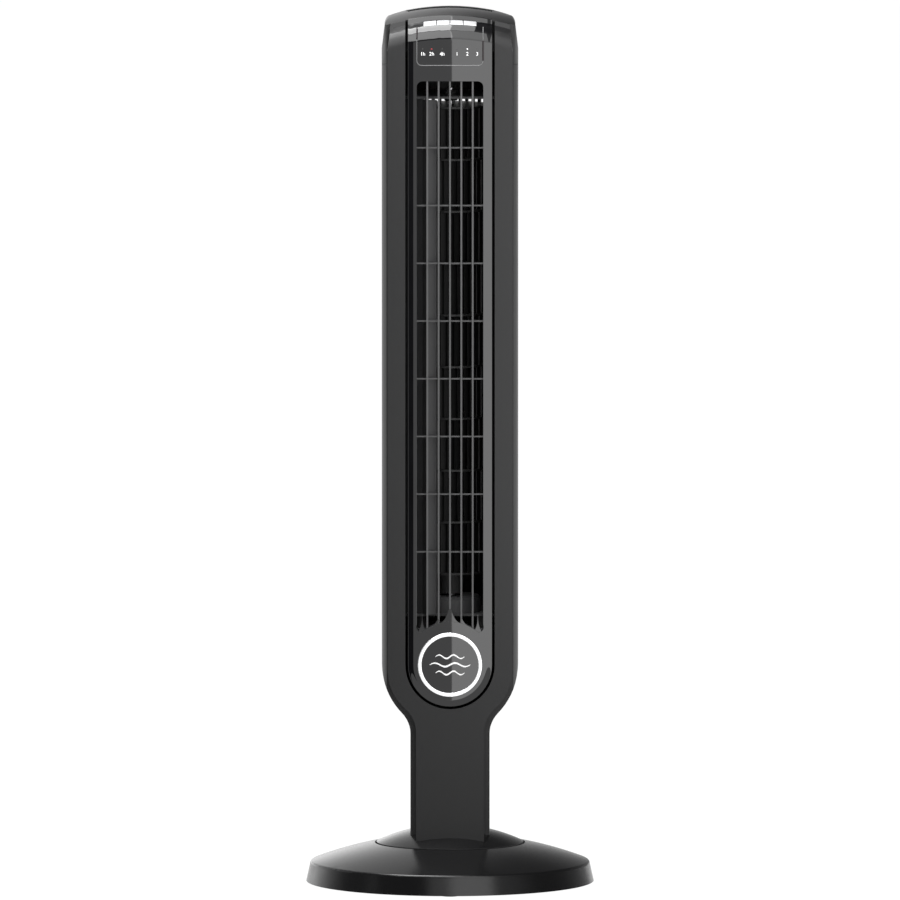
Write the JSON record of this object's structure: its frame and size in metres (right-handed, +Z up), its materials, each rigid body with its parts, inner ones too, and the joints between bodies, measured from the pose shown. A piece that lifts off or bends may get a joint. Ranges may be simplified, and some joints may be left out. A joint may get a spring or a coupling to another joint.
{
  "type": "tower fan",
  "caption": "Free-standing tower fan with a cross-flow impeller behind a tall outlet grille, top keys and an oscillating turntable on a round base.",
  "frame": {"origin": "centre of the round footprint on the floor, on the oscillation axis", "axes": "+Z up along the tower, -Y out of the air outlet, +X to the right as seen from the front"},
  "size_m": [0.3, 0.301, 0.914],
  "materials": {
    "satin_black": "satin moulded ABS",
    "gloss_black": "piano black",
    "grille_black": "fine satin",
    "duct_grey": "matt",
    "impeller_black": "glass filled, satin",
    "rubber": "matt",
    "steel": "zinc plated",
    "motor_steel": "lacquered laminations",
    "copper": "enamelled winding",
    "acetal": "natural acetal",
    "silver_trim": "satin chrome",
    "board_green": "solder resist",
    "smoke_lens": "dark translucent",
    "lamp": "diffuse light guide",
    "key_satin": "satin silver-grey keys",
    "capacitor_white": "moulded case"
  },
  "bodies": {
    "base": {"base_shell": "satin_black", "base_plate": "satin_black", "ballast_ring": "steel", "rubber_feet": "rubber", "base_screws": "steel", "bearing_ring": "acetal", "cord_inlet": "rubber", "sector_gear": "acetal"},
    "tower": {"turntable_plate": "satin_black", "retaining_washer": "steel", "swing_motor": "motor_steel", "turntable_cap": "satin_black", "front_bezel": "satin_black", "front_insert": "gloss_black", "control_board": "board_green", "key_switches": "satin_black", "display_lens": "smoke_lens", "indicator_lamps": "lamp", "remote_receiver": "smoke_lens", "badge_ring": "silver_trim", "badge_disc": "gloss_black", "outlet_grille": "grille_black", "rear_housing": "satin_black", "top_cover": "satin_black", "handle_tray": "satin_black", "intake_grille": "grille_black", "duct_top_plate": "duct_grey", "duct_bottom_plate": "duct_grey", "scroll_wall": "duct_grey", "cutoff_wall": "duct_grey", "upper_bearing": "rubber", "motor_case": "motor_steel", "motor_stator": "copper", "motor_bracket": "steel", "motor_mounts": "rubber", "run_capacitor": "capacitor_white", "wiring_block": "capacitor_white", "motor_lead": "rubber", "control_lead": "rubber", "neck_foot": "satin_black", "neck_screws": "steel", "housing_screws": "steel"},
    "impeller": {"impeller": "impeller_black", "impeller_hub": "rubber", "top_pin": "steel", "motor_rotor": "motor_steel"},
    "swing_pinion": {"drive_pinion": "acetal"},
    "timer_key": {"timer_key": "key_satin"},
    "swing_key": {"swing_key": "key_satin"},
    "speed_key": {"speed_key": "key_satin"},
    "power_key": {"power_key": "key_satin"}
  },
  "joints": [
    {"name": "swing", "type": "hinge", "parent": "base", "child": "tower", "pos_m": [0, 0, 0.04], "axis": [0, 0, 1], "range_deg": [-35, 35]},
    {"name": "impeller_spin", "type": "hinge", "parent": "tower", "child": "impeller", "pos_m": [0.001, 0.003, 0.5], "axis": [0, 0, 1], "continuous": true},
    {"name": "pinion_turn", "type": "hinge", "parent": "tower", "child": "swing_pinion", "pos_m": [0, 0.03375, 0.03], "axis": [0, 0, 1], "range_deg": [-75, 75]},
    {"name": "timer_key_press", "type": "slide", "parent": "tower", "child": "timer_key", "axis": [0, 0.342, -0.9397], "range_m": [0, 0.0012], "stiffness_N_per_m": 400, "springref_m": -0.0008},
    {"name": "swing_key_press", "type": "slide", "parent": "tower", "child": "swing_key", "axis": [0, 0.342, -0.9397], "range_m": [0, 0.0012], "stiffness_N_per_m": 400, "springref_m": -0.0008},
    {"name": "speed_key_press", "type": "slide", "parent": "tower", "child": "speed_key", "axis": [0, 0.342, -0.9397], "range_m": [0, 0.0012], "stiffness_N_per_m": 400, "springref_m": -0.0008},
    {"name": "power_key_press", "type": "slide", "parent": "tower", "child": "power_key", "axis": [0, 0.342, -0.9397], "range_m": [0, 0.0012], "stiffness_N_per_m": 400, "springref_m": -0.0008}
  ],
  "couplings": [
    {"joint": "pinion_turn", "follows": "swing", "ratio": 2}
  ]
}
